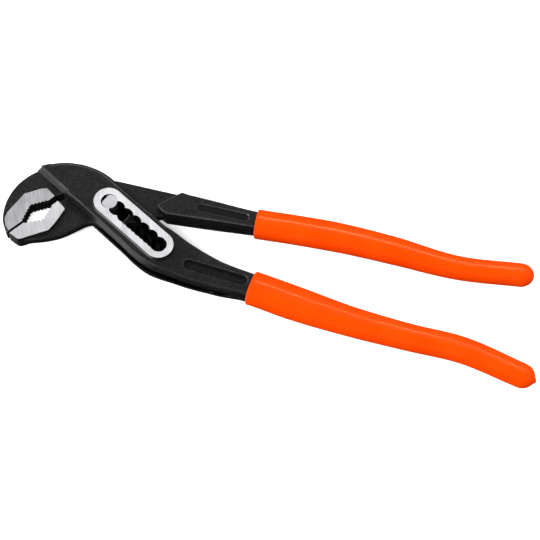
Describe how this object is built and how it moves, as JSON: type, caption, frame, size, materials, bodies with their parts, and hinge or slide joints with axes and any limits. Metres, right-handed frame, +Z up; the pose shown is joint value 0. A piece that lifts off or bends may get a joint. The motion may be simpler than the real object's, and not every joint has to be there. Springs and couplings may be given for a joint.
{
  "type": "adjustable water pump pliers",
  "caption": "Adjustable water pump pliers with a box joint: toothed jaws, a pin that slides along a notched slot, black forged levers and dipped orange grips.",
  "frame": {"origin": "middle of the tool's outline, on the surface that it lies on", "axes": "+X along the tool from the jaws to the handle ends, +Y towards the upper handle, +Z up through its thickness"},
  "size_m": [0.249, 0.061, 0.016],
  "materials": {
    "forged_steel": "black phosphated forging with a satin sheen, ground bright on the jaw pads and the slot's rings",
    "ground_steel": "bright steel with grinding lines",
    "dipped_vinyl": "smooth glossy orange, dipped, with rounded lips and domed ends"
  },
  "bodies": {
    "slotted_lever_body": {"slotted_lever": "forged_steel", "slotted_lever_grip": "dipped_vinyl"},
    "pin_body": {"pivot_pin": "ground_steel"},
    "inner_lever_body": {"inner_lever": "forged_steel", "inner_lever_grip": "dipped_vinyl"}
  },
  "joints": [
    {"name": "pin_slide", "type": "slide", "parent": "slotted_lever_body", "child": "pin_body", "axis": [0.859, -0.512, 0], "range_m": [0, 0.0318]},
    {"name": "lever_hinge", "type": "hinge", "parent": "pin_body", "child": "inner_lever_body", "pos_m": [-0.07763, 0.01376, 0.008], "axis": [0, 0, 1], "range_deg": [-1.2, 85]}
  ]
}
